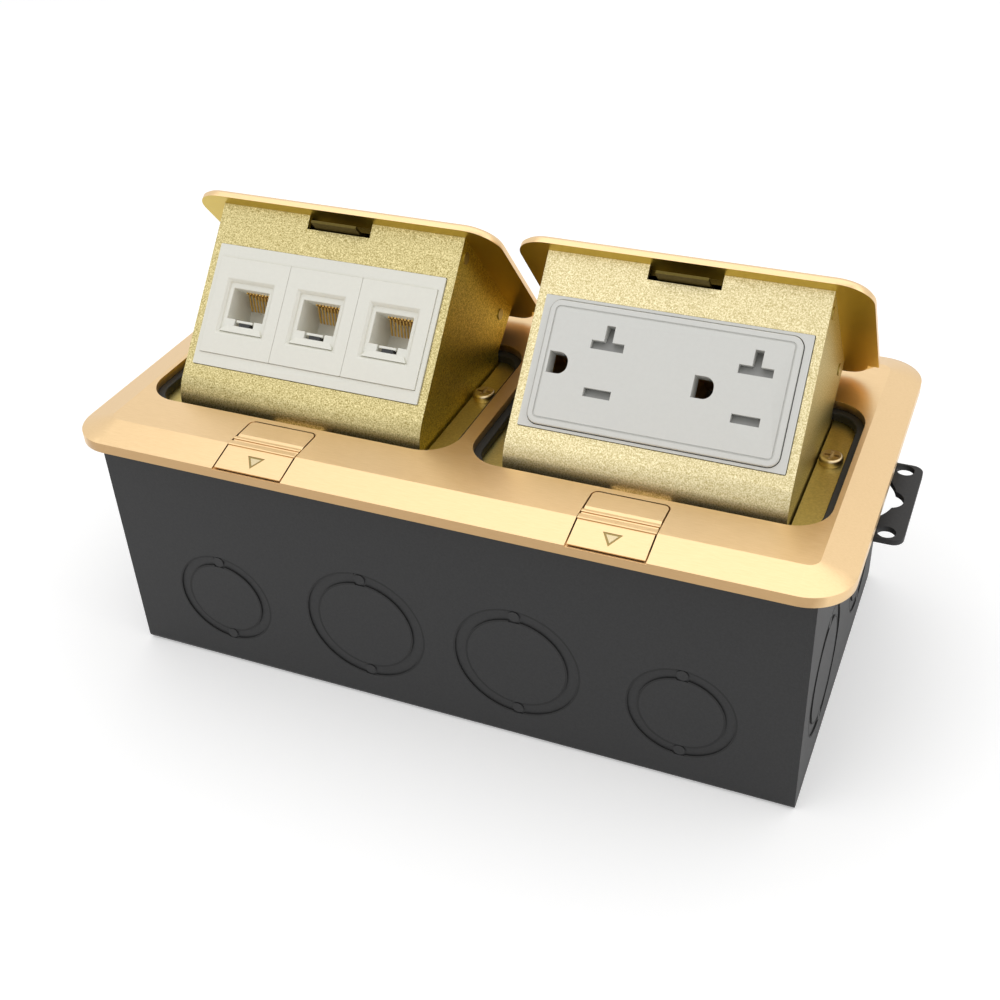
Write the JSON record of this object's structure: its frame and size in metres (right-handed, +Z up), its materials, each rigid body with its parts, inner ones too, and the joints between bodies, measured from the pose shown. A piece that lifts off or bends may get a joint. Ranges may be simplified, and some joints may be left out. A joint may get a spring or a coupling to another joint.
{
  "type": "floor socket box",
  "caption": "Recessed floor box with spring-up twin pop-up lids behind push latches, one with data ports and one with power outlets, flanged cover, steel back box with knockouts",
  "frame": {"origin": "middle of the underside of the steel box", "axes": "+X along the cover plate to the power pop-up, +Y to the hinge side, +Z up; the floor is at the top of the steel box"},
  "size_m": [0.23, 0.1166, 0.1256],
  "materials": {
    "cover_satin": "satin tan-gold metallic lacquer",
    "carrier_gold": "fine sandblasted, lacquered",
    "frame_olive": "satin olive-brown die casting",
    "gasket_rubber": "black",
    "box_grey": "dark grey galvanised and painted",
    "screw_steel": "zinc plated",
    "spring_steel": "bright spring steel",
    "data_white": "white",
    "outlet_white": "light grey-white",
    "outlet_black": "dark thermoplastic",
    "contact_brass": "bright",
    "strap_steel": "zinc plated"
  },
  "bodies": {
    "base": {"cover_plate": "cover_satin", "hinge_frame_left": "frame_olive", "hinge_frame_right": "frame_olive", "gasket_left": "gasket_rubber", "gasket_right": "gasket_rubber", "box_shell": "box_grey", "end_plate_left": "box_grey", "end_plate_right": "box_grey", "divider_plate": "box_grey", "mounting_ear_left": "box_grey", "mounting_ear_right": "box_grey", "frame_screws": "screw_steel", "cover_screws": "screw_steel", "ear_screws": "screw_steel", "pivot_pins_left": "screw_steel", "pivot_pins_right": "screw_steel", "torsion_spring_left": "spring_steel", "torsion_spring_right": "spring_steel", "latch_springs_left": "spring_steel", "latch_springs_right": "spring_steel", "ground_screw": "strap_steel"},
    "popup_left": {"lid_left": "cover_satin", "carrier_left": "carrier_gold", "lid_bracket_left": "carrier_gold", "cheek_rivets_left": "screw_steel", "keeper_left": "spring_steel", "data_frame": "data_white", "jack_module_1": "data_white", "jack_module_2": "data_white", "jack_module_3": "data_white", "jack_contacts": "contact_brass"},
    "popup_right": {"lid_right": "cover_satin", "carrier_right": "carrier_gold", "lid_bracket_right": "carrier_gold", "cheek_rivets_right": "screw_steel", "keeper_right": "spring_steel", "receptacle_trim": "outlet_white", "receptacle_face": "outlet_white", "receptacle_body": "outlet_black", "receptacle_contacts": "contact_brass", "receptacle_strap": "strap_steel", "terminal_screws": "contact_brass"},
    "latch_left": {"latch_button_left": "cover_satin"},
    "latch_right": {"latch_button_right": "cover_satin"}
  },
  "joints": [
    {"name": "popup_left_hinge", "type": "hinge", "parent": "base", "child": "popup_left", "pos_m": [-0.0501, 0.0345, 0.0611], "axis": [1, 0, 0], "range_deg": [0, 51], "stiffness_Nm_per_rad": 0.6, "springref_deg": -34.38},
    {"name": "popup_right_hinge", "type": "hinge", "parent": "base", "child": "popup_right", "pos_m": [0.0501, 0.0345, 0.0611], "axis": [1, 0, 0], "range_deg": [0, 51], "stiffness_Nm_per_rad": 0.6, "springref_deg": -34.38},
    {"name": "latch_left_slide", "type": "slide", "parent": "base", "child": "latch_left", "axis": [0, -1, 0], "range_m": [0, 0.0025], "stiffness_N_per_m": 400, "springref_m": -0.002, "deforming": ["latch_springs_left"]},
    {"name": "latch_right_slide", "type": "slide", "parent": "base", "child": "latch_right", "axis": [0, -1, 0], "range_m": [0, 0.0025], "stiffness_N_per_m": 400, "springref_m": -0.002, "deforming": ["latch_springs_right"]}
  ]
}
